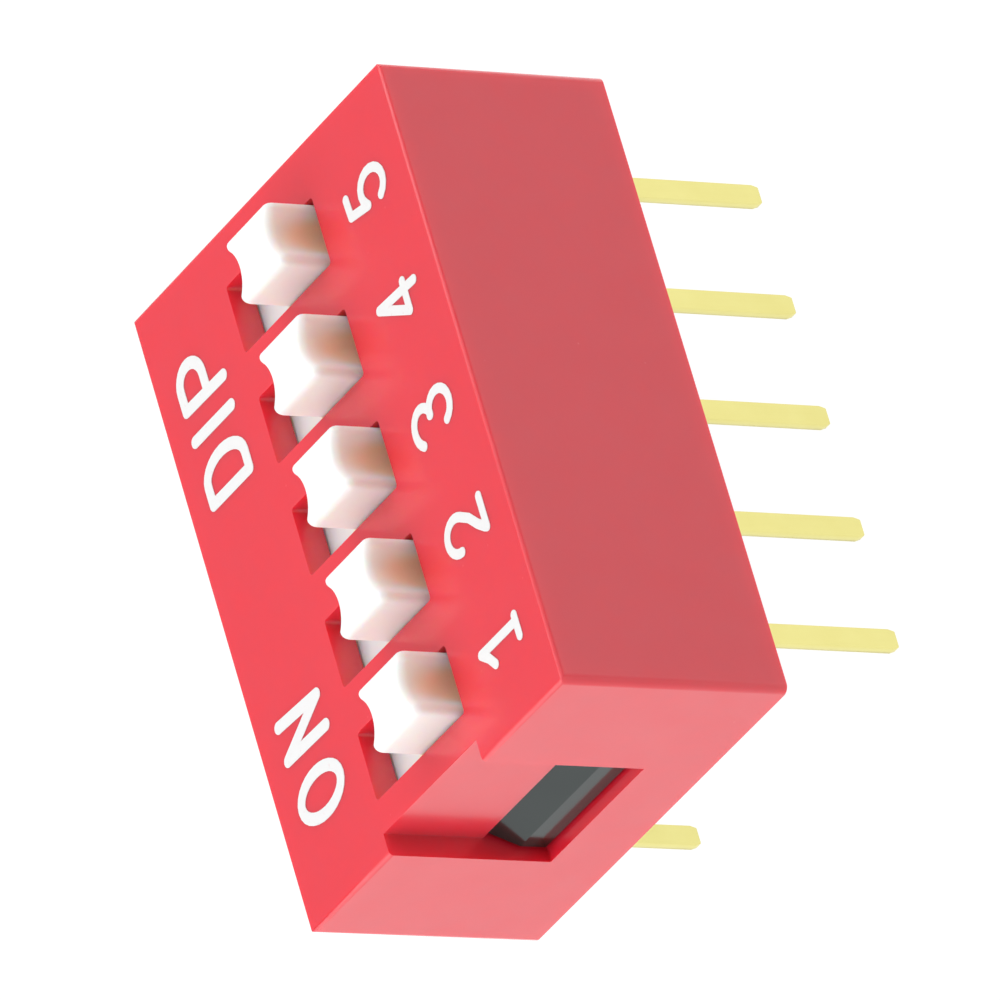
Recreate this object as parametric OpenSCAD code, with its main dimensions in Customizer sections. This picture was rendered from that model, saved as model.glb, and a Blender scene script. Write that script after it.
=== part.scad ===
// Five-position slide DIP switch with raised actuators.
// X runs along the row of positions, Y from the numbered side to the ON side, Z up out of the slider face.
// The origin is the centre of the plane that the housing sits on when it is soldered to a board.

/* [Positions] */
// Distance from one position to the next, and from pin to pin along a row
pitch = 2.54; // [2.1:0.01:3.1]
// Distance between the two rows of pins
row_gap = 7.62; // [6.3:0.01:9.2]

/* [Housing] */
// Length that the housing adds past the last position, at each end
end_margin = 0.65; // [0.5:0.05:1.5]
// Width that the housing adds past the pin rows, on each side
side_margin = 1.09; // [1.05:0.01:1.8]
// Height of the housing above the board
housing_h = 5.28; // [4.3:0.02:7]
// Thickness of the two long walls
side_wall = 0.7; // [0.5:0.05:0.75]
// Thickness of the roof that the slots pass through
roof = 0.62; // [0.5:0.02:0.8]
// Radius of the four upright edges
upright_r = 0.18; // [0.05:0.01:0.3]
// Radius of the edges round the roof
roof_r = 0.1; // [0.05:0.01:0.2]

/* [Slots] */
// Width of a slot along the row
slot_w = 1.52; // [1.1:0.02:1.6]
// Length of a slot across the row
slot_l = 3.4; // [2.7:0.1:3.5]
// Radius in the corners of a slot
slot_r = 0.08; // [0.02:0.01:0.2]

/* [End walls] */
// Width of the latch window in each end wall, and of the groove above the first position's
groove_w = 3.6; // [2.4:0.1:5]
// Depth of the groove in the end wall by the first position
groove_d = 0.48; // [0.3:0.02:0.6]
// Height of the sill that the latch hooks over
sill_z = 1.5; // [1:0.05:1.9]
// Height of the top edge of the latch window
window_z = 2.95; // [2.6:0.05:3.6]
// Overlap of the outer cut and the inner pocket, which opens the window
shutoff = 0.02; // [0.01:0.01:0.05]

/* [Base] */
// Height of the base's underside above the board
standoff = 0.15; // [0.1:0.05:0.3]
// Height of the channel floors
floor_z = 1.95; // [1.7:0.05:2.2]
// Clearance between the base and the walls of the housing
base_gap = 0.05; // [0.02:0.01:0.1]
// How far the latch nose stands out of its pocket
nose_out = 0.28; // [0.1:0.02:0.3]
// Height of the latch nose from its underside up to its ridge
nose_h = 0.6; // [0.4:0.05:0.8]
// Clearance between the latch nose and the sill, and round the latch in its pocket
latch_gap = 0.08; // [0.02:0.01:0.1]
// Width of the moulding recess under each channel
core_w = 1.3; // [0.8:0.1:1.5]
// Length of the moulding recess under each channel
core_l = 4.6; // [3:0.2:5.5]
// Depth of the moulding recess under each channel
core_d = 0.7; // [0.3:0.1:1]

/* [Sliders] */
// Length of an actuator along the slot
knob_l = 1.75; // [1.4:0.05:2.1]
// Clearance between an actuator and each side of its slot
knob_side_gap = 0.04; // [0.02:0.01:0.1]
// Clearance left at the end of the slot when a slider stops
stop_gap = 0.075; // [0.05:0.005:0.2]
// How far an actuator stands above the roof
knob_h = 1.05; // [0.6:0.05:1.5]
// Depth of the finger scoop in each end of an actuator
scoop_d = 0.26; // [0.05:0.01:0.3]
// Width of the finger scoop
scoop_w = 1.1; // [0.6:0.05:1.15]
// Radius of the upright edges of an actuator
knob_r = 0.15; // [0.05:0.01:0.15]
// Radius along the top edges of an actuator
knob_top_r = 0.22; // [0.05:0.01:0.3]
// Width of the slider plate under the roof
plate_w = 1.8; // [1.7:0.05:2.1]
// How far the slider plate reaches past the end of the slot when the slider stops
plate_lap = 0.2; // [0.1:0.05:0.3]
// Thickness of the slider plate
plate_t = 1.15; // [0.8:0.05:1.3]
// Thickness of the two legs that straddle the wiper
leg_t = 0.35; // [0.25:0.05:0.4]
// How far the legs stop short of each end of the plate
leg_inset = 0.6; // [0.2:0.05:0.8]
// Running clearance above and beside a slider plate
slide_gap = 0.05; // [0.03:0.01:0.1]
// Clearance between a slider plate and the end of its channel when the slider stops
channel_gap = 0.15; // [0.05:0.05:0.3]
// Clearance between the legs and the channel floor
leg_gap = 0.12; // [0.06:0.01:0.2]

/* [Wipers] */
// Thickness of the wiper strip
wiper_t = 0.12; // [0.08:0.01:0.16]
// Clearance between the wiper and the legs on either side of it
wiper_side_gap = 0.06; // [0.03:0.01:0.15]
// How far the OFF-side foot stands in from the end of its pad when the contact is closed
contact_lap = 0.2; // [0.1:0.05:0.4]
// Distance from the ON-side foot to the end of its pad when the contact is open
open_gap = 0.3; // [0.2:0.05:0.5]
// Radius of the contact feet at the middle of the strip
foot_r = 0.22; // [0.15:0.01:0.3]
// Radius of the bends under the slider plate
crown_r = 0.2; // [0.15:0.01:0.25]
// Share of the distance between the feet that the flat crown takes
crown_share = 0.28; // [0.2:0.01:0.4]
// Angle that the tip of a foot turns up
tip_angle = 50; // [30:5:70]
// Length of the straight tip of a foot
tip_l = 0.16; // [0.1:0.01:0.2]
// Width of the slit that splits each arm into two fingers
slit_w = 0.14; // [0.1:0.01:0.2]
// Share of an arm's height that the slit takes
slit_share = 0.55; // [0.3:0.05:0.7]
// Clearance between the contact feet and the floor
contact_gap = 0.03; // [0.02:0.01:0.06]
// Diameter of the post that holds the wiper
post_d = 0.28; // [0.2:0.02:0.3]
// How far the post stands below the slider plate
post_h = 0.35; // [0.2:0.05:0.5]
// Clearance round the post in the wiper
post_gap = 0.03; // [0.02:0.01:0.05]

/* [Terminals] */
// Thickness of the terminal strip
strip_t = 0.2; // [0.15:0.01:0.3]
// Width of a contact pad and of the leg inside the base
pad_w = 0.9; // [0.7:0.05:1]
// Distance from the middle of the channel to the end of a pad
pad_start = 0.3; // [0.2:0.05:0.4]
// Inner radius of the bend from pad to leg
bend_r = 0.15; // [0.1:0.01:0.25]
// Width of a pin
pin_w = 0.46; // [0.4:0.02:0.6]
// Length of a pin below the board plane
pin_l = 3.8; // [2.5:0.1:4.5]
// Height of the shoulder where the leg narrows to the pin
shoulder_z = 0.7; // [0.5:0.05:0.9]
// Length of the tapered tip of a pin
taper_l = 0.15; // [0.1:0.05:0.6]
// Width of the end of a pin
taper_w = 0.36; // [0.2:0.02:0.38]
// Clearance round a terminal in the base
mould_gap = 0.02; // [0.01:0.01:0.04]

/* [Hidden] */

$fn = 48;
// Overshoot of a cut past the face that it opens
over = 0.1;
positions = 5;

// Housing: the cavity's ends guide the outer sliders, as the base's partitions guide the others
channel_w = plate_w + 2 * slide_gap;
housing_l = positions * pitch + 2 * end_margin;
housing_w = row_gap + 2 * side_margin;
cavity_l = (positions - 1) * pitch + channel_w;
cavity_w = housing_w - 2 * side_wall;
cavity_z = housing_h - roof;
groove_x = housing_l / 2 - groove_d;

// Sliders
travel = slot_l - knob_l - 2 * stop_gap;
rest_y = -travel / 2;
knob_w = slot_w - 2 * knob_side_gap;
knob_z = housing_h + knob_h;
plate_l = slot_l + travel + 2 * plate_lap;
plate_top = cavity_z - slide_gap;
plate_z = plate_top - plate_t;
leg_z = floor_z + leg_gap;
leg_l = plate_l - 2 * leg_inset;
scoop_r = (scoop_d * scoop_d + scoop_w * scoop_w / 4) / (2 * scoop_d);

// Base
base_l = cavity_l - 2 * base_gap;
base_w = cavity_w - 2 * base_gap;
channel_l = plate_l + travel + 2 * channel_gap;
base_wall = (base_w - channel_l) / 2;
partition_t = pitch - channel_w;
lug_w = groove_w - 2 * latch_gap;
lug_x = groove_x - latch_gap;
nose_x = groove_x + nose_out - latch_gap;
nose_z = sill_z + latch_gap;

// Wipers: the foot distance and the offset follow the stroke, so that the contact opens and closes
foot_gap = travel + 2 * pad_start + contact_lap - open_gap;
wiper_shift = -(contact_lap + open_gap) / 2;
wiper_w = plate_w - 2 * leg_t - 2 * wiper_side_gap;
crown_z = plate_z - wiper_t / 2;
foot_z = floor_z + contact_gap + wiper_t / 2;
crown_centre = [crown_share * foot_gap / 2, crown_z - crown_r];
foot_centre = [foot_gap / 2, foot_z + foot_r];
slit_h = slit_share * (crown_z - foot_z);
arm_run = foot_centre - crown_centre;
arm_angle = atan2(arm_run.y, arm_run.x) - asin((crown_r + foot_r) / norm(arm_run));
bend_steps = 8;

// Terminals
pad_z = floor_z - strip_t;
leg_y = row_gap / 2 + strip_t / 2;

function position_x(i) = (i - (positions + 1) / 2) * pitch;

// ---- Profiles and blanks -------------------------------------------------------------------

// Rectangle standing on the first axis, with its two top corners rounded
module arch(w, h, r) {
    translate([-w / 2, 0])
        square([w, h - r]);
    translate([r - w / 2, 0])
        square([w - 2 * r, h]);
    for (side = [-1, 1])
        translate([side * (w / 2 - r), h - r])
            circle(r);
}

// Rectangle centred on the origin, with all four corners rounded
module rounded_square(l, w, r) {
    square([l, w - 2 * r], center = true);
    square([l - 2 * r, w], center = true);
    for (sx = [-1, 1], sy = [-1, 1])
        translate([sx * (l / 2 - r), sy * (w / 2 - r)])
            circle(r);
}

// Block standing on z = 0, with rounded upright edges and rounded edges round its top
module soft_block(l, w, h, upright, top) {
    intersection() {
        linear_extrude(h)
            rounded_square(l, w, upright);
        rotate([90, 0, 0])
            translate([0, 0, -w])
                linear_extrude(2 * w)
                    arch(l, h, top);
        rotate([90, 0, 90])
            translate([0, 0, -l])
                linear_extrude(2 * l)
                    arch(w, h, top);
    }
}

// Extrudes an outline drawn in Y and Z by a width along X, centred on x = 0
module across_x(width) {
    rotate([90, 0, 90])
        translate([0, 0, -width / 2])
            linear_extrude(width)
                children();
}

// Extrudes an outline drawn in X and Z along Y, from y0 to y1
module along_y(y0, y1) {
    translate([0, y1, 0])
        rotate([90, 0, 0])
            linear_extrude(y1 - y0)
                children();
}

// ---- Cover ---------------------------------------------------------------------------------

// Pocket inside an end wall for the latch, opened from outside by a cut from the sill up to z
module end_window(z) {
    translate([cavity_l / 2 - over, -groove_w / 2, -over])
        cube([groove_x + shutoff - cavity_l / 2 + over, groove_w, window_z + over]);
    translate([groove_x, -groove_w / 2, sill_z])
        cube([groove_d + over, groove_w, z - sill_z]);
}

module cover() {
    color("crimson")
        difference() {
            soft_block(housing_l, housing_w, housing_h, upright_r, roof_r);
            translate([-cavity_l / 2, -cavity_w / 2, -over])
                cube([cavity_l, cavity_w, cavity_z + over]);
            for (i = [1:positions])
                translate([position_x(i), 0, cavity_z - over])
                    linear_extrude(roof + 2 * over)
                        rounded_square(slot_w, slot_l, slot_r);
            end_window(window_z);
            rotate([0, 0, 180])
                end_window(housing_h + over);
        }
}

// ---- Base ----------------------------------------------------------------------------------

// Latch lug at one end of the base: it fills the pocket and its nose hooks over the sill
module latch_lug() {
    rotate([90, 0, 0])
        translate([0, 0, -lug_w / 2])
            linear_extrude(lug_w)
                polygon([
                    [base_l / 2 - over, standoff],
                    [lug_x, standoff],
                    [lug_x, nose_z],
                    [nose_x, nose_z],
                    [nose_x, nose_z + nose_h],
                    [lug_x, window_z - latch_gap],
                    [cavity_l / 2, window_z - latch_gap],
                    [cavity_l / 2, floor_z],
                    [base_l / 2 - over, floor_z]
                ]);
}

module base() {
    wall_h = cavity_z - floor_z;
    color("darkslategray")
        difference() {
            union() {
                translate([-base_l / 2, -base_w / 2, standoff])
                    cube([base_l, base_w, floor_z - standoff]);
                for (side = [-1, 1])
                    translate([-base_l / 2, side * (base_w - base_wall) / 2 - base_wall / 2, floor_z - over])
                        cube([base_l, base_wall, wall_h + over]);
                for (i = [1:positions - 1])
                    translate([position_x(i) + (pitch - partition_t) / 2, -base_w / 2 + over, floor_z - over])
                        cube([partition_t, base_w - 2 * over, wall_h + over]);
                for (turn = [0, 180])
                    rotate([0, 0, turn])
                        latch_lug();
            }
            for (i = [1:positions])
                translate([position_x(i), 0, 0]) {
                    translate([-core_w / 2, -core_l / 2, standoff - over])
                        cube([core_w, core_l, core_d + over]);
                    for (turn = [0, 180])
                        rotate([0, 0, turn])
                            terminal_shape(mould_gap);
                }
        }
}

// ---- Sliders -------------------------------------------------------------------------------

// Actuator that stands through the slot, scooped at both ends for a fingertip or a pen
module knob() {
    difference() {
        translate([0, 0, plate_top - over])
            soft_block(knob_w, knob_l, knob_z - plate_top + over, knob_r, knob_top_r);
        for (side = [-1, 1])
            translate([0, side * (knob_l / 2 - scoop_d + scoop_r), plate_top])
                cylinder(r = scoop_r, h = knob_z);
    }
}

module slider(i) {
    color("ivory")
        translate([position_x(i), rest_y, 0]) {
            knob();
            translate([-plate_w / 2, -plate_l / 2, plate_z])
                cube([plate_w, plate_l, plate_t]);
            for (side = [-1, 1])
                translate([side * (plate_w - leg_t) / 2 - leg_t / 2, -leg_l / 2, leg_z])
                    cube([leg_t, leg_l, plate_z - leg_z + over]);
            translate([0, wiper_shift, plate_z - post_h])
                cylinder(d = post_d, h = post_h + over);
        }
}

// ---- Wipers --------------------------------------------------------------------------------

// Centre line of half a wiper in Y and Z: flat crown, bend down, straight arm, foot, turned-up tip
function half_wiper() = concat(
    [[0, crown_z]],
    [for (k = [0:bend_steps])
        let (a = arm_angle * k / bend_steps)
        crown_centre + crown_r * [-sin(a), cos(a)]],
    [for (k = [0:bend_steps])
        let (a = arm_angle + (tip_angle - arm_angle) * k / bend_steps)
        foot_centre + foot_r * [sin(a), -cos(a)]],
    [foot_centre + foot_r * [sin(tip_angle), -cos(tip_angle)] + tip_l * [cos(tip_angle), sin(tip_angle)]]
);

// Direction of a path at one of its points
function heading(path, k) =
    let (a = path[max(k - 1, 0)], b = path[min(k + 1, len(path) - 1)])
    (b - a) / norm(b - a);

// The path moved sideways by d
function beside(path, d) = [
    for (k = [0:len(path) - 1])
        path[k] + d * [-heading(path, k).y, heading(path, k).x]
];

function reversed(list) = [for (k = [len(list) - 1:-1:0]) list[k]];

// Both halves of the centre line in one path, from the OFF-side tip to the ON-side tip
function wiper_line() =
    let (half = half_wiper())
    concat([for (k = [len(half) - 1:-1:1]) [-half[k].x, half[k].y]], half);

module wiper(i) {
    line = wiper_line();
    color("goldenrod")
        translate([position_x(i), rest_y + wiper_shift, 0])
            difference() {
                across_x(wiper_w)
                    polygon(concat(beside(line, wiper_t / 2), reversed(beside(line, -wiper_t / 2))));
                translate([-slit_w / 2, -foot_gap, floor_z])
                    cube([slit_w, 2 * foot_gap, slit_h + foot_z - floor_z]);
                translate([0, 0, plate_z - post_h])
                    cylinder(d = post_d + 2 * post_gap, h = 2 * post_h);
            }
}

// ---- Terminals -----------------------------------------------------------------------------

// Side view of a terminal in Y and Z: contact pad, bend, and leg down to the pin's tip
module terminal_side(grow) {
    outer_r = bend_r + strip_t;
    bend = [leg_y - outer_r, floor_z - outer_r];
    translate([pad_start - grow, pad_z])
        square([bend.x - pad_start + grow, strip_t + grow]);
    translate([leg_y - strip_t - grow, -pin_l])
        square([strip_t + 2 * grow, bend.y + pin_l]);
    intersection() {
        difference() {
            translate(bend)
                circle(outer_r + grow);
            translate(bend)
                circle(bend_r - grow);
        }
        translate(bend)
            square(outer_r + grow);
    }
}

// Front view of a terminal in X and Z: wide pad and leg, shoulders, pin and tapered tip
module terminal_front(grow) {
    shoulder = (pad_w - pin_w) / 2;
    polygon([
        [-taper_w / 2 - grow, -pin_l],
        [taper_w / 2 + grow, -pin_l],
        [pin_w / 2 + grow, -pin_l + taper_l],
        [pin_w / 2 + grow, shoulder_z - shoulder],
        [pad_w / 2 + grow, shoulder_z],
        [pad_w / 2 + grow, floor_z + over],
        [-pad_w / 2 - grow, floor_z + over],
        [-pad_w / 2 - grow, shoulder_z],
        [-pin_w / 2 - grow, shoulder_z - shoulder],
        [-pin_w / 2 - grow, -pin_l + taper_l]
    ]);
}

// ON-side terminal at x = 0, stamped and bent from strip; grow adds a clearance for its seat
module terminal_shape(grow) {
    intersection() {
        across_x(pad_w + 2 * over)
            terminal_side(grow);
        along_y(0, housing_w)
            terminal_front(grow);
    }
}

// side is 1 on the ON side and -1 on the OFF side
module terminal(i, side) {
    color("gold")
        translate([position_x(i), 0, 0])
            rotate([0, 0, side > 0 ? 0 : 180])
                terminal_shape(0);
}

// ---- Assembly ------------------------------------------------------------------------------

cover();
base();
slider(1);  // slider_1
slider(2);  // slider_2
slider(3);  // slider_3
slider(4);  // slider_4
slider(5);  // slider_5
wiper(1);  // wiper_1
wiper(2);  // wiper_2
wiper(3);  // wiper_3
wiper(4);  // wiper_4
wiper(5);  // wiper_5
terminal(1, -1);  // terminal_off_1
terminal(2, -1);  // terminal_off_2
terminal(3, -1);  // terminal_off_3
terminal(4, -1);  // terminal_off_4
terminal(5, -1);  // terminal_off_5
terminal(1, 1);  // terminal_on_1
terminal(2, 1);  // terminal_on_2
terminal(3, 1);  // terminal_on_3
terminal(4, 1);  // terminal_on_4
terminal(5, 1);  // terminal_on_5
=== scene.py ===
"""Looks, studio and camera for a five-position slide DIP switch with raised actuators.

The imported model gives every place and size. Each sub-assembly is a class that makes its visible
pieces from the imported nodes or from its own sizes, gives them a finish and sets them riding on
their body. Lengths in the dataclasses are in millimetres; meshes and objects are in metres.
"""

import logging
import math
from dataclasses import dataclass, field
from enum import Enum

import bmesh
import bpy
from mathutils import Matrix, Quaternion, Vector


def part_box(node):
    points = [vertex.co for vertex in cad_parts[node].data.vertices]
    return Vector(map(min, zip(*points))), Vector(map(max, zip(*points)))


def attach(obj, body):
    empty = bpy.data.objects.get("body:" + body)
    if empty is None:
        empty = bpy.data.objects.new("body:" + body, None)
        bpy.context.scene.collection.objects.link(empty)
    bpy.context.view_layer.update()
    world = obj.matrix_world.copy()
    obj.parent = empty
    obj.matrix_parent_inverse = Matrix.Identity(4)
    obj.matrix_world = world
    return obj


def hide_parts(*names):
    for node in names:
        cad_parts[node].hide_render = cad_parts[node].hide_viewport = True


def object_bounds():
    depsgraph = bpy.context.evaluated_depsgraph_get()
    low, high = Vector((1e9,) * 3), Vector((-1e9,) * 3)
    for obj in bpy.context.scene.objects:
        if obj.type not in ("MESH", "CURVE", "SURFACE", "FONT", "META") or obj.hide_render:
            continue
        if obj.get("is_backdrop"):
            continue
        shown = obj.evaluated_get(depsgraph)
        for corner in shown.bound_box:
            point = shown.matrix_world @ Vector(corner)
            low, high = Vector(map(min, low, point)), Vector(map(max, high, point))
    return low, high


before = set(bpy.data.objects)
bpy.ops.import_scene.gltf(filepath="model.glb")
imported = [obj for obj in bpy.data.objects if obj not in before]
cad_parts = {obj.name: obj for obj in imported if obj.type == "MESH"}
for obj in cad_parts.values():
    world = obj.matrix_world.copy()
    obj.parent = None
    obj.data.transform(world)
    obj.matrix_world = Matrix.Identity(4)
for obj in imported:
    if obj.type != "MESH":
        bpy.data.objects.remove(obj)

LOG = logging.getLogger("dip_switch")
MM = 0.001
POSITIONS = 5
# How far under a face a copy is cut off, in millimetres, so that the cut has one clean outline
CUT_DEPTH = 0.001
# Edges that turn by less than this angle, in degrees, are shaded smooth
GENTLE_EDGE = 35
# Edges that turn by more than this angle, in degrees, are softened
SHARP_EDGE = 40
# Faces that turn by less than this angle, in degrees, count as one plane
FLAT_TURN = 0.5
# Points closer than this, in millimetres, are one point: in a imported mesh, and after a union
PACKED_SLACK = 1e-4
UNION_SLACK = 1e-3
# Range that nearly all values of a noise pattern lie in
NOISE_BAND = (0.3, 0.7)
# Width and thickness of the printed strokes, in millimetres
INK_STROKE = 0.26
INK_THICKNESS = 0.012
# Attribute of a mesh: how much painted shade, a warm brown that stands in for the shadow in the
# actuator's scoops, a point's colour takes
SCOOP_SHADE = "scoop_shade"

Colour = tuple[float, float, float]
Point = tuple[float, float]
Stroke = list[Point]


class Side(Enum):
    """The two long sides of the switch, by the name that the terminals' nodes carry."""

    OFF = "off"
    ON = "on"


class Slot(Enum):
    """Material slots of the record."""

    HOUSING = "housing_red"
    BASE = "base_black"
    SLIDER = "slider_white"
    SPRING = "spring_gold"
    PIN = "pin_gold"
    LEGEND = "legend_white"


# ---- Finishes ------------------------------------------------------------------------------


class Graph:
    """A material's node tree, with short ways to add and join nodes."""

    def __init__(self, name: str) -> None:
        """Starts a material that holds a Principled shader and its output.

        Args:
            name: Name of the material.
        """
        self.material: bpy.types.Material = bpy.data.materials.new(name)
        self.material.use_nodes = True
        self.tree: bpy.types.NodeTree = self.material.node_tree
        self.shader: bpy.types.Node = self.tree.nodes["Principled BSDF"]
        self.place = self.add("ShaderNodeTexCoord").outputs["Object"]

    def add(self, kind: str, **settings: object) -> bpy.types.Node:
        """Adds a node.

        Args:
            kind: The node's type name.
            **settings: Attributes of the node, by name.

        Returns:
            The new node.
        """
        node = self.tree.nodes.new(kind)
        for key, value in settings.items():
            setattr(node, key, value)
        return node

    def join(self, source: bpy.types.NodeSocket, target: bpy.types.NodeSocket) -> None:
        """Links an output to an input."""
        self.tree.links.new(source, target)

    def fixed(self, **values: object) -> None:
        """Sets inputs of the shader that are the same all over the surface.

        Args:
            **values: Values by input name, with spaces written as underscores.
        """
        for key, value in values.items():
            self.shader.inputs[key.replace("_", " ")].default_value = value

    def attribute(self, name: str) -> bpy.types.NodeSocket:
        """Reads a value that the mesh carries at its points."""
        return self.add("ShaderNodeAttribute", attribute_name=name).outputs["Fac"]

    def noise(
        self, size: float, detail: float = 2.0, stretch: Colour = (1.0, 1.0, 1.0)
    ) -> bpy.types.NodeSocket:
        """Adds a noise pattern.

        Args:
            size: Width of one patch of the pattern, in millimetres.
            detail: Octaves of finer noise.
            stretch: How many times longer the patches are along each axis.

        Returns:
            The pattern's value, from 0 to 1.
        """
        mapping = self.add("ShaderNodeMapping")
        mapping.inputs["Scale"].default_value = [1 / (size * MM * s) for s in stretch]
        pattern = self.add("ShaderNodeTexNoise")
        pattern.inputs["Scale"].default_value = 1.0
        pattern.inputs["Detail"].default_value = detail
        self.join(self.place, mapping.inputs["Vector"])
        self.join(mapping.outputs["Vector"], pattern.inputs["Vector"])
        return pattern.outputs["Fac"]

    def span(
        self,
        source: bpy.types.NodeSocket,
        low: float,
        high: float,
        source_low: float = 0.0,
        source_high: float = 1.0,
    ) -> bpy.types.NodeSocket:
        """Maps a pattern's range onto another one.

        Args:
            source: The pattern.
            low: Result where the pattern is at source_low.
            high: Result where the pattern is at source_high.
            source_low: Low end of the pattern's range.
            source_high: High end of the pattern's range.

        Returns:
            The mapped value.
        """
        mapped = self.add("ShaderNodeMapRange", interpolation_type="SMOOTHSTEP")
        for key, value in zip(
            ("From Min", "From Max", "To Min", "To Max"),
            (source_low, source_high, low, high),
        ):
            mapped.inputs[key].default_value = value
        self.join(source, mapped.inputs["Value"])
        return mapped.outputs["Result"]

    def specks(self, apart: float, size: float) -> bpy.types.NodeSocket:
        """Adds small round specks.

        Args:
            apart: Mean distance between specks, in millimetres.
            size: Radius of the largest specks, in millimetres.

        Returns:
            1 in the middle of a speck and 0 outside it.
        """
        cells = self.add("ShaderNodeTexVoronoi")
        cells.inputs["Scale"].default_value = 1 / (apart * MM)
        self.join(self.place, cells.inputs["Vector"])
        return self.span(cells.outputs["Distance"], 1.0, 0.0, 0.0, size / apart)

    def tint(
        self,
        source: bpy.types.NodeSocket,
        first: Colour | bpy.types.NodeSocket,
        second: Colour,
    ) -> bpy.types.NodeSocket:
        """Blends two colours by a pattern.

        Args:
            source: The pattern, 0 for the first colour and 1 for the second.
            first: Colour at 0, or an output that gives it.
            second: Colour at 1.

        Returns:
            The blended colour.
        """
        blend = self.add("ShaderNodeMix", data_type="RGBA")
        start, end = (s for s in blend.inputs if s.type == "RGBA")
        if isinstance(first, tuple):
            start.default_value = (*first, 1.0)
        else:
            self.join(first, start)
        end.default_value = (*second, 1.0)
        self.join(source, blend.inputs["Factor"])
        return next(s for s in blend.outputs if s.type == "RGBA")

    def relief(self, source: bpy.types.NodeSocket, height: float) -> None:
        """Drives the shader's normal by a pattern.

        Args:
            source: The pattern.
            height: Height of the relief, in millimetres.
        """
        bump = self.add("ShaderNodeBump")
        bump.inputs["Distance"].default_value = height * MM
        self.join(source, bump.inputs["Height"])
        self.join(bump.outputs["Normal"], self.shader.inputs["Normal"])


@dataclass(frozen=True)
class Moulded:
    """Moulded plastic: a body colour with faint clouding and a few specks, a fine skin, and where a
    mesh marks its scoops a painted warm brown shade in them.
    """

    name: str
    colour: Colour
    clouded: Colour
    speck: Colour
    gloss: tuple[float, float]
    grain: float
    grain_height: float
    ior: float = 1.5
    glow: float = 0.0
    glow_reach: Colour = (1.0, 0.8, 0.6)
    glow_depth: float = 0.3
    coat: float = 0.0
    # Colour of the painted shade in the scoops, and the band of the mesh's marking over which it
    # fades in
    scoop_shade: Colour | None = None
    scoop_shade_band: tuple[float, float] = (0.1, 0.8)
    cloud_patch: float = 0.5
    gloss_patch: float = 1.3
    speck_apart: float = 1.1
    speck_radius: float = 0.035
    coat_patch: float = 0.6
    coat_thinnest: float = 0.9
    coat_roughness: float = 0.2

    def build(self) -> bpy.types.Material:
        """Builds the material.

        Returns:
            The material.
        """
        graph = Graph(self.name)
        clouds = graph.noise(self.cloud_patch, detail=4.0)
        body = graph.tint(clouds, self.colour, self.clouded)
        # Painted shade: deep in the scoops the body colour turns warm brown, standing in for their
        # shadow
        if self.scoop_shade:
            shade_share = graph.span(graph.attribute(SCOOP_SHADE), 0.0, 1.0, *self.scoop_shade_band)
            body = graph.tint(shade_share, body, self.scoop_shade)
        specks = graph.specks(self.speck_apart, self.speck_radius)
        graph.join(graph.tint(specks, body, self.speck), graph.shader.inputs["Base Color"])
        sheen = graph.span(graph.noise(self.gloss_patch), *self.gloss)
        graph.join(sheen, graph.shader.inputs["Roughness"])
        graph.relief(graph.noise(self.grain, detail=1.0), self.grain_height)
        graph.fixed(IOR=self.ior)
        if self.glow:
            graph.fixed(
                Subsurface_Weight=self.glow,
                Subsurface_Radius=self.glow_reach,
                Subsurface_Scale=self.glow_depth * MM,
            )
        if self.coat:
            thinnest = self.coat_thinnest * self.coat
            skin = graph.span(graph.noise(self.coat_patch), thinnest, self.coat, *NOISE_BAND)
            graph.join(skin, graph.shader.inputs["Coat Weight"])
            graph.fixed(Coat_Roughness=self.coat_roughness)
        return graph.material


@dataclass(frozen=True)
class Plated:
    """Plated strip metal, with faint rolling lines along Z and patches of duller plating."""

    name: str
    colour: Colour
    dulled: Colour
    gloss: tuple[float, float]
    line: float
    line_height: float
    line_stretch: float = 40.0
    dull_patch: float = 0.7

    def build(self) -> bpy.types.Material:
        """Builds the material.

        Returns:
            The material.
        """
        graph = Graph(self.name)
        patches = graph.noise(self.dull_patch, detail=3.0)
        plating = graph.tint(patches, self.colour, self.dulled)
        graph.join(plating, graph.shader.inputs["Base Color"])
        lines = graph.noise(self.line, stretch=(1.0, 1.0, self.line_stretch))
        graph.join(graph.span(lines, *self.gloss), graph.shader.inputs["Roughness"])
        graph.relief(lines, self.line_height)
        graph.fixed(Metallic=1.0)
        return graph.material


@dataclass(frozen=True)
class Printed:
    """Pad-printed ink: matt, with small thin spots."""

    name: str
    colour: Colour
    thin: Colour
    gloss: tuple[float, float] = (0.45, 0.6)
    gloss_patch: float = 0.2
    spot: float = 0.12
    spot_band: tuple[float, float] = (0.62, 0.8)
    grain: float = 0.08
    grain_height: float = 0.002

    def build(self) -> bpy.types.Material:
        """Builds the material.

        Returns:
            The material.
        """
        graph = Graph(self.name)
        spots = graph.span(graph.noise(self.spot, detail=3.0), 0.0, 1.0, *self.spot_band)
        ink = graph.tint(spots, self.colour, self.thin)
        graph.join(ink, graph.shader.inputs["Base Color"])
        sheen = graph.span(graph.noise(self.gloss_patch), *self.gloss)
        graph.join(sheen, graph.shader.inputs["Roughness"])
        graph.relief(graph.noise(self.grain), self.grain_height)
        return graph.material


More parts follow.
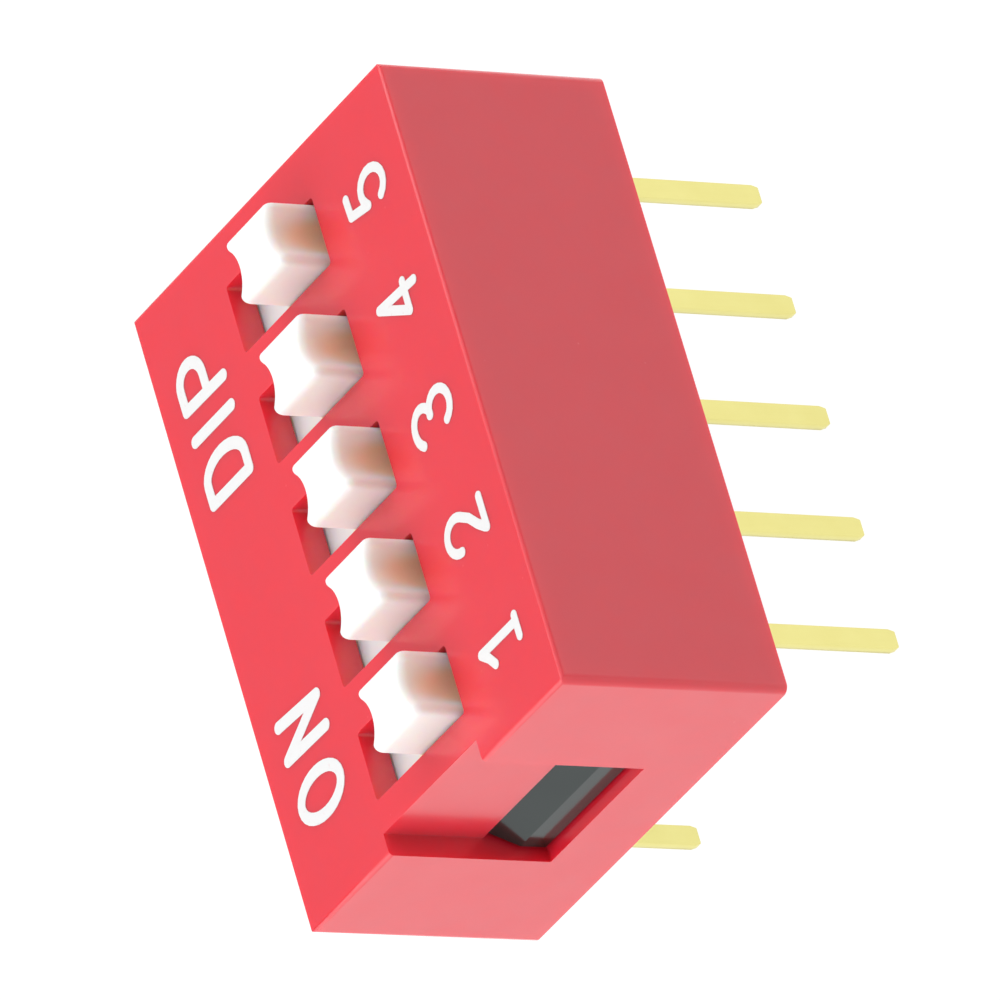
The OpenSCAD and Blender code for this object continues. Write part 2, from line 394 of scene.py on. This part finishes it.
FINISHES: dict[Slot, bpy.types.Material] = {
    Slot.HOUSING: Moulded(
        name="moulded_red",
        colour=(0.72, 0.013, 0.033),
        clouded=(0.67, 0.018, 0.040),
        speck=(0.74, 0.06, 0.08),
        gloss=(0.28, 0.36),
        grain=0.06,
        grain_height=0.0005,
        ior=1.44,
        glow=0.6,
        glow_reach=(1.0, 0.12, 0.12),
        glow_depth=0.5,
        coat=1.0,
    ).build(),
    Slot.BASE: Moulded(
        name="moulded_black",
        colour=(0.003, 0.012, 0.011),
        clouded=(0.005, 0.014, 0.013),
        speck=(0.03, 0.045, 0.04),
        gloss=(0.10, 0.16),
        grain=0.06,
        grain_height=0.0006,
        ior=1.6,
    ).build(),
    Slot.SLIDER: Moulded(
        name="moulded_white",
        colour=(0.80, 0.84, 0.82),
        clouded=(0.78, 0.82, 0.80),
        speck=(0.74, 0.76, 0.73),
        gloss=(0.30, 0.38),
        grain=0.06,
        grain_height=0.0006,
        ior=1.45,
        glow=0.6,
        glow_reach=(1.0, 0.45, 0.25),
        glow_depth=1.6,
        # Warm brown painted shade deep in the actuator's scoops
        scoop_shade=(0.92, 0.72, 0.50),
    ).build(),
    Slot.SPRING: Plated(
        name="spring_strip",
        colour=(0.86, 0.66, 0.28),
        dulled=(0.78, 0.58, 0.24),
        gloss=(0.22, 0.34),
        line=0.03,
        line_height=0.0008,
    ).build(),
    Slot.PIN: Plated(
        name="pin_plating",
        colour=(0.87, 0.81, 0.32),
        dulled=(0.82, 0.75, 0.27),
        gloss=(0.26, 0.40),
        line=0.04,
        line_height=0.001,
    ).build(),
    Slot.LEGEND: Printed(
        name="printed_white", colour=(0.70, 0.70, 0.70), thin=(0.66, 0.56, 0.56)
    ).build(),
}


# ---- Mesh helpers --------------------------------------------------------------------------


def span_of(node: str) -> tuple[Vector, Vector]:
    """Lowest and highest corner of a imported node, in metres."""
    low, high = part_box(node)
    return low, high


def placed(name: str, data: bpy.types.ID) -> bpy.types.Object:
    """Puts a new object into the scene.

    Args:
        name: Name of the object.
        data: Its mesh, light or camera.

    Returns:
        The object.
    """
    thing = bpy.data.objects.new(name, data)
    bpy.context.scene.collection.objects.link(thing)
    return thing


def dress(piece: bpy.types.Object, slot: Slot) -> None:
    """Gives a piece the finish of a material slot, in place of any that it has."""
    piece.data.materials.clear()
    piece.data.materials.append(FINISHES[slot])


def ride(
    piece: bpy.types.Object, body: str, slot: Slot, gentle: float = GENTLE_EDGE
) -> None:
    """Sets a finished piece riding on its body.

    Args:
        piece: The piece.
        body: The body that carries it.
        slot: Its material slot; not used.
        gentle: Edges that turn by less than this angle, in degrees, are shaded smooth.
    """
    shaded(piece, gentle)
    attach(piece, body)
    LOG.info("%s rides on %s: %d faces", piece.name, body, len(piece.data.polygons))


def softened(
    node: str, name: str, radius: float, segments: int = 2, top: float | None = None
) -> bpy.types.Object:
    """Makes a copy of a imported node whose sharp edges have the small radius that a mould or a
    stamping tool leaves.

    Args:
        node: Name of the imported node.
        name: Name of the new piece.
        radius: Width of the softened edge, in millimetres.
        segments: Faces across the softened edge.
        top: Height at which the copy is cut off flat, in metres; None keeps all of it.

    Returns:
        The new piece, at the origin, with its place in its mesh.
    """
    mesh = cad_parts[node].data.copy()
    mesh.name = name
    mesh.materials.clear()
    for attribute in [a for a in mesh.attributes if a.name == "custom_normal"]:
        mesh.attributes.remove(attribute)
    shape = bmesh.new()
    shape.from_mesh(mesh)
    bmesh.ops.remove_doubles(shape, verts=shape.verts, dist=PACKED_SLACK * MM)
    if top is not None:
        bmesh.ops.bisect_plane(
            shape,
            geom=shape.verts[:] + shape.edges[:] + shape.faces[:],
            plane_co=(0.0, 0.0, top - CUT_DEPTH * MM),
            plane_no=(0.0, 0.0, 1.0),
            clear_outer=True,
        )
        bmesh.ops.holes_fill(shape, edges=[e for e in shape.edges if e.is_boundary])
    bmesh.ops.dissolve_limit(
        shape,
        angle_limit=math.radians(FLAT_TURN),
        verts=shape.verts,
        edges=shape.edges,
        use_dissolve_boundaries=False,
    )
    shape.to_mesh(mesh)
    shape.free()
    piece = placed(name, mesh)
    edge = piece.modifiers.new("soft_edge", "BEVEL")
    edge.width = radius * MM
    edge.segments = segments
    edge.limit_method = "ANGLE"
    edge.angle_limit = math.radians(SHARP_EDGE)
    return plain(piece)


def plain(piece: bpy.types.Object) -> bpy.types.Object:
    """Turns a piece's modifiers into plain mesh.

    Args:
        piece: The piece; its modifiers are removed.

    Returns:
        The same piece.
    """
    bpy.context.view_layer.update()
    graph = bpy.context.evaluated_depsgraph_get()
    mesh = bpy.data.meshes.new_from_object(piece.evaluated_get(graph), depsgraph=graph)
    piece.modifiers.clear()
    piece.data = mesh
    mesh.name = piece.name
    return piece


def cleaned(piece: bpy.types.Object) -> bpy.types.Object:
    """Joins the points that a union leaves doubled and merges the faces that lie in one plane.

    Args:
        piece: The piece, without modifiers.

    Returns:
        The same piece.
    """
    shape = bmesh.new()
    shape.from_mesh(piece.data)
    bmesh.ops.remove_doubles(shape, verts=shape.verts, dist=UNION_SLACK * MM)
    bmesh.ops.dissolve_degenerate(shape, edges=shape.edges, dist=UNION_SLACK * MM)
    bmesh.ops.dissolve_limit(
        shape, angle_limit=math.radians(FLAT_TURN), verts=shape.verts, edges=shape.edges
    )
    shape.to_mesh(piece.data)
    shape.free()
    return piece


def shaded(piece: bpy.types.Object, gentle: float) -> bpy.types.Object:
    """Shades a piece smooth across its gentle edges, with its broad faces kept flat.

    Args:
        piece: The piece, without modifiers.
        gentle: Edges that turn by less than this angle, in degrees, are shaded smooth.

    Returns:
        The same piece.
    """
    piece.data.shade_smooth()
    piece.data.set_sharp_from_angle(angle=math.radians(gentle))
    weighted = piece.modifiers.new("broad_faces_first", "WEIGHTED_NORMAL")
    weighted.keep_sharp = True
    return plain(piece)


# ---- Sub-assemblies ------------------------------------------------------------------------


@dataclass
class Housing:
    """The red cover, with the soft edges of its mould."""

    node: str = "cover"
    body: str = "housing"
    edge: float = 0.05

    def build(self) -> None:
        """Builds and dresses the cover."""
        shell = softened(self.node, "housing_shell", self.edge, segments=3)
        dress(shell, Slot.HOUSING)
        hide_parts(self.node)
        ride(shell, self.body, Slot.HOUSING)

    def roof(self) -> float:
        """Height of the roof, in metres."""
        return span_of(self.node)[1].z


@dataclass
class Base:
    """The black base that closes the housing and holds the terminals."""

    node: str = "base"
    body: str = "housing"
    edge: float = 0.03
    gentle: float = 8.0

    def build(self) -> None:
        """Builds and dresses the base."""
        block = softened(self.node, "latched_base", self.edge)
        dress(block, Slot.BASE)
        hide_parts(self.node)
        ride(block, self.body, Slot.BASE, gentle=self.gentle)


@dataclass
class Terminals:
    """Two rows of plated pins."""

    body: str = "housing"
    edge: float = 0.025

    def build(self) -> None:
        """Builds and dresses every terminal."""
        for side in Side:
            for index in range(1, POSITIONS + 1):
                node = f"terminal_{side.value}_{index}"
                pin = softened(node, f"pin_{side.value}_{index}", self.edge)
                dress(pin, Slot.PIN)
                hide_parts(node)
                ride(pin, self.body, Slot.PIN)


@dataclass
class Slider:
    """One white slider: an actuator scooped at both ends, on the plate that carries the wiper."""

    index: int
    width: float = 1.44
    length: float = 1.75
    scoop_depth: float = 0.26
    scoop_width: float = 1.1
    corner: float = 0.15
    crown_inset: float = 0.145
    crown_drop: float = 0.22
    height: float = 1.05
    sink: float = 0.05
    edge: float = 0.03
    # How far in from the scoops' ends, in millimetres, and how sharply across them the painted
    # scoop shade sets in
    scoop_shade_margin: float = 0.02
    scoop_shade_fade: float = 1.5
    corner_steps: int = 12
    scoop_steps: int = 24
    crown_steps: int = 8

    @property
    def node(self) -> str:
        """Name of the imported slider."""
        return f"slider_{self.index}"

    @property
    def body(self) -> str:
        """Name of the body that slides."""
        return f"switch_{self.index}"

    def build(self) -> None:
        """Builds and dresses the slider, and gives the wiper under it its finish."""
        piece = softened(self.node, f"actuator_{self.index}", self.edge, top=self.plate_top())
        knob = placed("knob", self.knob())
        joined = piece.modifiers.new("joined", "BOOLEAN")
        joined.operation = "UNION"
        joined.solver = "MANIFOLD"
        joined.object = knob
        plain(piece)
        bpy.data.objects.remove(knob)
        # Marks where the painted warm brown shade goes in the scoops
        self.paint_scoop_shade(piece)
        dress(piece, Slot.SLIDER)
        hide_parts(self.node)
        ride(piece, self.body, Slot.SLIDER)
        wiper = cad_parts[f"wiper_{self.index}"]
        dress(wiper, Slot.SPRING)

    def paint_scoop_shade(self, piece: bpy.types.Object) -> None:
        """Notes at each point how much painted warm brown shade its colour takes: how deep it lies
        in a scoop, 0 at its rim and 1 in its foot.

        Args:
            piece: The slider.
        """
        low, high = span_of(self.node)
        middle = (low + high) / 2
        base = self.plate_top() - CUT_DEPTH * MM
        ends = (self.length / 2 - self.scoop_depth - self.scoop_shade_margin) * MM
        shares = []
        for vertex in piece.data.vertices:
            # The painted shade is strongest across the scoop's middle and gets darker towards its
            # foot
            across = 2 * (vertex.co.x - middle.x) / (self.scoop_width * MM)
            scooped = abs(vertex.co.y - middle.y) > ends and vertex.co.z > base
            down = (high.z - vertex.co.z) / (self.height * MM)
            share = max(0.0, 1 - across**2) ** self.scoop_shade_fade
            shares.append(share * down if scooped else 0.0)
        piece.data.attributes.new(SCOOP_SHADE, "FLOAT", "POINT").data.foreach_set("value", shares)

    def plate_top(self) -> float:
        """Height of the plate's top face, in metres: nothing beside the actuator is higher."""
        low, high = span_of(self.node)
        middle = (low.x + high.x) / 2
        beside = [
            vertex.co.z
            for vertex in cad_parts[self.node].data.vertices
            if abs(vertex.co.x - middle) > (self.width / 2 + self.edge) * MM
        ]
        return max(beside)

    def outline(self, inset: float) -> list[Point]:
        """Plan of the actuator, drawn in from its faces.

        Args:
            inset: Distance from the faces, in millimetres.

        Returns:
            The outline's points, counterclockwise, round the actuator's own centre.
        """
        scoop_r = (self.scoop_depth**2 + self.scoop_width**2 / 4) / (2 * self.scoop_depth)
        scoop_y = self.length / 2 - self.scoop_depth + scoop_r
        corner_x = self.width / 2 - self.corner
        corner_y = scoop_y - math.sqrt((scoop_r + self.corner) ** 2 - corner_x**2)
        turn = math.degrees(math.atan2(scoop_y - corner_y, -corner_x))
        corner_r, scoop_r = self.corner - inset, scoop_r + inset
        scoop = arc(
            (0.0, scoop_y), (scoop_r, scoop_r), turn - 180, -turn, self.scoop_steps
        )
        end = (
            arc((corner_x, corner_y), (corner_r, corner_r), 0, turn, self.corner_steps)
            + scoop[1:-1]
            + arc((-corner_x, corner_y), (corner_r, corner_r), 180 - turn, 180, self.corner_steps)
        )
        return end + [(-x, -y) for x, y in end]

    def knob(self) -> bpy.types.Mesh:
        """Mesh of the actuator, from inside the plate up to its rounded top.

        Returns:
            The closed mesh, in metres.
        """
        low, high = span_of(self.node)
        middle = (low + high) / 2
        turns = [
            math.radians(90 * k / self.crown_steps) for k in range(self.crown_steps + 1)
        ]
        levels = [(0.0, self.plate_top() - self.sink * MM)] + [
            (
                self.crown_inset * (1 - math.cos(t)),
                high.z - self.crown_drop * (1 - math.sin(t)) * MM,
            )
            for t in turns
        ]
        shape = bmesh.new()
        rings = [
            [
                shape.verts.new((middle.x + x * MM, middle.y + y * MM, z))
                for x, y in self.outline(inset)
            ]
            for inset, z in levels
        ]
        count = len(rings[0])
        for lower, upper in zip(rings, rings[1:]):
            for k in range(count):
                after = (k + 1) % count
                shape.faces.new((lower[k], lower[after], upper[after], upper[k]))
        shape.faces.new(reversed(rings[0]))
        shape.faces.new(rings[-1])
        mesh = bpy.data.meshes.new("knob")
        shape.to_mesh(mesh)
        shape.free()
        return mesh


# ---- Legend --------------------------------------------------------------------------------


def arc(
    centre: Point, reach: Point, start: float, end: float, steps: int = 14
) -> list[Point]:
    """Points along part of an ellipse.

    Args:
        centre: Centre of the ellipse.
        reach: Half its width and half its height.
        start: Angle of the first point, in degrees, from +X towards +Y.
        end: Angle of the last point; under start, the arc runs clockwise.
        steps: Number of stretches.

    Returns:
        The points.
    """
    turns = [math.radians(start + (end - start) * k / steps) for k in range(steps + 1)]
    return [
        (centre[0] + reach[0] * math.cos(t), centre[1] + reach[1] * math.sin(t))
        for t in turns
    ]


class Glyph(Enum):
    """Pen strokes of each character, in millimetres from the character's own centre."""

    ONE = [
        [(-0.33, 0.30), (-0.12, 0.45), (0.07, 0.66), (0.07, -0.66)],
        [(-0.25, -0.66), (0.20, -0.66)],
    ]
    TWO = [
        arc((0.0, 0.29), (0.36, 0.37), 178, -35)
        + [(0.12, -0.18), (-0.14, -0.40), (-0.31, -0.59), (-0.35, -0.66), (0.33, -0.66)]
    ]
    THREE = [
        arc((-0.07, 0.33), (0.39, 0.33), 150, -62) + [(0.04, 0.04)],
        arc((0.02, -0.30), (0.37, 0.36), 86, -160),
    ]
    FOUR = [[(0.15, -0.66), (0.21, 0.64), (-0.32, -0.29), (0.32, -0.30)]]
    FIVE = [
        [(0.21, 0.66), (-0.19, 0.64), (-0.29, 0.02)]
        + arc((-0.01, -0.25), (0.36, 0.41), 128, -150)
    ]
    LETTER_O = [arc((0.0, 0.0), (0.45, 0.74), 90, 450, 28)[:-1]]
    LETTER_N = [[(-0.39, -0.74), (-0.36, 0.74), (0.31, -0.72), (0.39, 0.74)]]
    LETTER_D = [arc((-0.02, 0.0), (0.43, 0.72), 90, -90) + [(-0.42, -0.72), (-0.42, 0.72)]]
    LETTER_I = [[(0.0, -0.72), (0.0, 0.72)]]
    LETTER_P = [
        [(-0.41, -0.74), (-0.39, 0.72)]
        + arc((0.03, 0.30), (0.41, 0.42), 90, -90)
        + [(-0.38, -0.12)]
    ]

    @property
    def closed(self) -> bool:
        """Whether the glyph's strokes join up into loops."""
        return self in (Glyph.LETTER_O, Glyph.LETTER_D)


@dataclass
class InkTree:
    """Geometry Nodes tree that turns pen paths into flat ink with round ends and joints.

    The paths carry an attribute, pen, that gives each point's share of the stroke width.
    """

    name: str = "ink_strokes"
    pen: str = "pen"
    sockets: dict[str, str] = field(default_factory=dict)

    def build(self) -> bpy.types.NodeTree:
        """Builds the tree and keeps its inputs' identifiers.

        Returns:
            The tree.
        """
        tree = bpy.data.node_groups.new(self.name, "GeometryNodeTree")
        face = tree.interface
        face.new_socket("Paths", in_out="INPUT", socket_type="NodeSocketGeometry")
        for title, kind, value in (
            ("Stroke width", "NodeSocketFloat", INK_STROKE * MM),
            ("Ink thickness", "NodeSocketFloat", INK_THICKNESS * MM),
            ("Round sides", "NodeSocketInt", 28),
            ("Ink", "NodeSocketMaterial", None),
        ):
            socket = face.new_socket(title, in_out="INPUT", socket_type=kind)
            if value is not None:
                socket.default_value = value
            self.sockets[title] = socket.identifier
        face.new_socket("Ink mesh", in_out="OUTPUT", socket_type="NodeSocketGeometry")

        add, join = tree.nodes.new, tree.links.new
        start, end = add("NodeGroupInput"), add("NodeGroupOutput")
        half = add("ShaderNodeMath")
        half.operation = "MULTIPLY"
        half.inputs[1].default_value = 0.5
        join(start.outputs["Stroke width"], half.inputs[0])
        share = add("GeometryNodeInputNamedAttribute")
        share.inputs["Name"].default_value = self.pen
        width = add("ShaderNodeMath")
        width.operation = "MULTIPLY"
        join(start.outputs["Stroke width"], width.inputs[0])
        join(share.outputs["Attribute"], width.inputs[1])

        disc = add("GeometryNodeMeshCylinder")
        joints = add("GeometryNodeInstanceOnPoints")
        spread = add("ShaderNodeCombineXYZ")
        spread.inputs["Z"].default_value = 1.0
        join(start.outputs["Round sides"], disc.inputs["Vertices"])
        join(half.outputs[0], disc.inputs["Radius"])
        join(start.outputs["Ink thickness"], disc.inputs["Depth"])
        join(start.outputs["Paths"], joints.inputs["Points"])
        join(disc.outputs["Mesh"], joints.inputs["Instance"])
        join(share.outputs["Attribute"], spread.inputs["X"])
        join(share.outputs["Attribute"], spread.inputs["Y"])
        join(spread.outputs["Vector"], joints.inputs["Scale"])

        ends = add("GeometryNodeInputMeshEdgeVertices")
        along = add("ShaderNodeVectorMath")
        along.operation = "SUBTRACT"
        kept = add("GeometryNodeCaptureAttribute")
        kept.domain = "EDGE"
        kept.capture_items.new("VECTOR", "Along")
        middles = add("GeometryNodeMeshToPoints")
        middles.mode = "EDGES"
        length = add("ShaderNodeVectorMath")
        length.operation = "LENGTH"
        size = add("ShaderNodeCombineXYZ")
        turn = add("FunctionNodeAlignRotationToVector")
        turn.axis = "X"
        bar = add("GeometryNodeMeshCube")
        bars = add("GeometryNodeInstanceOnPoints")
        join(ends.outputs["Position 2"], along.inputs[0])
        join(ends.outputs["Position 1"], along.inputs[1])
        join(start.outputs["Paths"], kept.inputs["Geometry"])
        join(along.outputs["Vector"], kept.inputs["Along"])
        join(kept.outputs["Geometry"], middles.inputs["Mesh"])
        join(kept.outputs["Along"], length.inputs[0])
        join(kept.outputs["Along"], turn.inputs["Vector"])
        join(length.outputs["Value"], size.inputs["X"])
        join(width.outputs[0], size.inputs["Y"])
        join(start.outputs["Ink thickness"], size.inputs["Z"])
        join(middles.outputs["Points"], bars.inputs["Points"])
        join(bar.outputs["Mesh"], bars.inputs["Instance"])
        join(turn.outputs["Rotation"], bars.inputs["Rotation"])
        join(size.outputs["Vector"], bars.inputs["Scale"])

        merged = add("GeometryNodeMeshBoolean")
        merged.operation = "UNION"
        merged.solver = "MANIFOLD"
        real = add("GeometryNodeRealizeInstances")
        paint = add("GeometryNodeSetMaterial")
        join(joints.outputs["Instances"], merged.inputs["Mesh 2"])
        join(bars.outputs["Instances"], merged.inputs["Mesh 2"])
        join(merged.outputs["Mesh"], real.inputs["Geometry"])
        join(real.outputs["Geometry"], paint.inputs["Geometry"])
        join(start.outputs["Ink"], paint.inputs["Material"])
        join(paint.outputs["Geometry"], end.inputs["Ink mesh"])
        return tree


@dataclass
class Legend:
    """White characters printed on the roof: a number by each position, and the ON side's words."""

    roof: float
    body: str = "housing"
    stroke: float = INK_STROKE
    thickness: float = INK_THICKNESS
    lift: float = 0.4
    number_pen: float = 0.78
    number_shift: float = -0.15
    number_row: float = -3.37
    word_row: float = 3.30
    letters: tuple[tuple[Glyph, float], ...] = (
        (Glyph.LETTER_O, -4.70),
        (Glyph.LETTER_N, -3.22),
        (Glyph.LETTER_D, 2.66),
        (Glyph.LETTER_I, 3.68),
        (Glyph.LETTER_P, 4.76),
    )

    def places(self) -> list[tuple[Glyph, float, float, float]]:
        """Each character with the place of its centre on the roof.

        Returns:
            Characters, X and Y of their centres in millimetres, and their share of the stroke.
        """
        numbers = (Glyph.ONE, Glyph.TWO, Glyph.THREE, Glyph.FOUR, Glyph.FIVE)
        made = []
        for index, glyph in enumerate(numbers, start=1):
            low, high = span_of(f"slider_{index}")
            centre = (low.x + high.x) / 2 / MM
            made.append((glyph, centre + self.number_shift, self.number_row, self.number_pen))
        return made + [(glyph, x, self.word_row, 1.0) for glyph, x in self.letters]

    def paths(self, attribute: str) -> bpy.types.Mesh:
        """Pen paths of the whole legend, as edges in the middle of the ink, which is sunk a little.

        Args:
            attribute: Name of the attribute that holds each point's share of the stroke.

        Returns:
            The mesh of edges, in metres.
        """
        points: list[tuple[float, float, float]] = []
        shares: list[float] = []
        edges: list[tuple[int, int]] = []
        z = self.roof + self.thickness * MM * self.lift
        for glyph, x, y, share in self.places():
            for stroke in glyph.value:
                first = len(points)
                points += [((x + px) * MM, (y + py) * MM, z) for px, py in stroke]
                shares += [share] * len(stroke)
                last = len(points) - 1
                edges += [(k, k + 1) for k in range(first, last)]
                if glyph.closed:
                    edges.append((last, first))
        mesh = bpy.data.meshes.new("legend")
        mesh.from_pydata(points, edges, [])
        mesh.attributes.new(attribute, "FLOAT", "POINT").data.foreach_set("value", shares)
        return mesh

    def build(self) -> None:
        """Builds and dresses the legend."""
        ink = InkTree()
        legend = placed("legend", self.paths(ink.pen))
        strokes = legend.modifiers.new("ink", "NODES")
        strokes.node_group = ink.build()
        strokes[ink.sockets["Stroke width"]] = self.stroke * MM
        strokes[ink.sockets["Ink thickness"]] = self.thickness * MM
        strokes[ink.sockets["Ink"]] = FINISHES[Slot.LEGEND]
        ride(cleaned(plain(legend)), self.body, Slot.LEGEND)


# ---- Studio --------------------------------------------------------------------------------


@dataclass(frozen=True)
class Softbox:
    """A square area light that looks at the switch."""

    name: str
    azimuth: float
    elevation: float
    distance: float
    size: float
    radiance: float

    def build(self, target: Vector) -> None:
        """Builds the light.

        Args:
            target: The point that it looks at, in metres.
        """
        lamp = bpy.data.lights.new(self.name, "AREA")
        lamp.size = self.size * MM
        lamp.energy = self.radiance * math.pi * (self.size * MM) ** 2
        light = placed(self.name, lamp)
        away = bearing(self.azimuth, self.elevation)
        light.location = target + away * self.distance * MM
        light.rotation_mode = "QUATERNION"
        light.rotation_quaternion = away.to_track_quat("Z", "Y")


def bearing(azimuth: float, elevation: float) -> Vector:
    """Unit vector from the switch to something seen at an azimuth and an elevation.

    Args:
        azimuth: Degrees round Z; 0 is in front, on the -Y side, and 90 on the +X side.
        elevation: Degrees above the horizon.

    Returns:
        The vector.
    """
    a, e = math.radians(azimuth), math.radians(elevation)
    return Vector((math.sin(a) * math.cos(e), -math.cos(a) * math.cos(e), math.sin(e)))


@dataclass
class Studio:
    """Pale floor lit from below, soft lights and the camera."""

    floor_reach: float = 400.0
    floor_sides: int = 96
    floor_patch: float = 8.0
    floor_tones: tuple[Colour, Colour] = ((0.06, 0.06, 0.06), (0.055, 0.055, 0.055))
    sky: float = 0.15
    floor_glow: float = 1.0
    lights: tuple[Softbox, ...] = (
        Softbox("key", -135.0, 62.0, 150.0, 170.0, 1.0),
        Softbox("top", 0.0, 89.0, 150.0, 110.0, 1.2),
        Softbox("near_end", -85.0, 45.0, 150.0, 130.0, 1.45),
        Softbox("near_low", -130.0, 20.0, 150.0, 150.0, 1.7),
        Softbox("far_end", 90.0, 45.0, 150.0, 130.0, 1.65),
        Softbox("far_low", 65.0, 25.0, 150.0, 110.0, 1.35),
        Softbox("front", 38.0, 44.0, 150.0, 100.0, 1.2),
        Softbox("back", 147.0, 34.0, 150.0, 130.0, 0.35),
    )
    azimuth: float = -32.55
    elevation: float = 34.05
    roll: float = -87.0
    distance: float = 422.3
    lens: float = 778.2
    aim: tuple[float, float, float] = (-0.117, -0.410, 1.895)
    sensor: float = 36.0
    near: float = 50.0
    far: float = 5000.0

    def build(self) -> None:
        """Builds floor, lights and camera."""
        low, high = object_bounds()
        self.lay_floor(low.z)
        self.light_up((low + high) / 2)
        self.place_camera()

    def lay_floor(self, height: float) -> None:
        """Lays the floor under the switch.

        Args:
            height: Height of the floor, in metres.
        """
        shape = bmesh.new()
        bmesh.ops.create_circle(
            shape, cap_ends=True, segments=self.floor_sides, radius=self.floor_reach * MM
        )
        for vertex in shape.verts:
            vertex.co.z = height
        mesh = bpy.data.meshes.new("floor")
        shape.to_mesh(mesh)
        shape.free()
        floor = placed("floor", mesh)
        graph = Graph("pale_floor")
        tone = graph.span(graph.noise(self.floor_patch), 0.0, 1.0)
        graph.join(graph.tint(tone, *self.floor_tones), graph.shader.inputs["Base Color"])
        graph.fixed(
            Roughness=0.9,
            Specular_IOR_Level=0.0,
            Emission_Color=(1.0, 1.0, 1.0, 1.0),
            Emission_Strength=self.floor_glow,
        )
        mesh.materials.append(graph.material)
        floor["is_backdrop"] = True

    def light_up(self, target: Vector) -> None:
        """Sets the surrounding light and the softboxes.

        Args:
            target: The point that the softboxes look at, in metres.
        """
        scene = bpy.context.scene
        scene.world = bpy.data.worlds.new("studio")
        scene.world.use_nodes = True
        sky = scene.world.node_tree.nodes["Background"]
        sky.inputs["Color"].default_value = (1.0, 1.0, 1.0, 1.0)
        sky.inputs["Strength"].default_value = self.sky
        for light in self.lights:
            light.build(target)
        scene.view_settings.view_transform = "Standard"

    def place_camera(self) -> None:
        """Places the camera at its viewing angle."""
        scene = bpy.context.scene
        lens = bpy.data.cameras.new("camera")
        lens.sensor_width = self.sensor
        lens.lens = self.lens
        lens.clip_start = self.near * MM
        lens.clip_end = self.far * MM
        camera = placed("camera", lens)
        away = bearing(self.azimuth, self.elevation)
        camera.location = Vector(self.aim) * MM + away * self.distance * MM
        camera.rotation_mode = "QUATERNION"
        camera.rotation_quaternion = away.to_track_quat("Z", "Y") @ Quaternion(
            (0.0, 0.0, 1.0), math.radians(self.roll)
        )
        scene.camera = camera


def main() -> None:
    """Builds the pieces in order, and then the studio round them."""
    logging.basicConfig(level=logging.INFO, format="%(name)s: %(message)s")
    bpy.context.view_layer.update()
    housing = Housing()
    housing.build()
    Base().build()
    Terminals().build()
    for index in range(1, POSITIONS + 1):
        Slider(index).build()
    Legend(roof=housing.roof()).build()
    Studio().build()


if __name__ == "__main__":
    main()
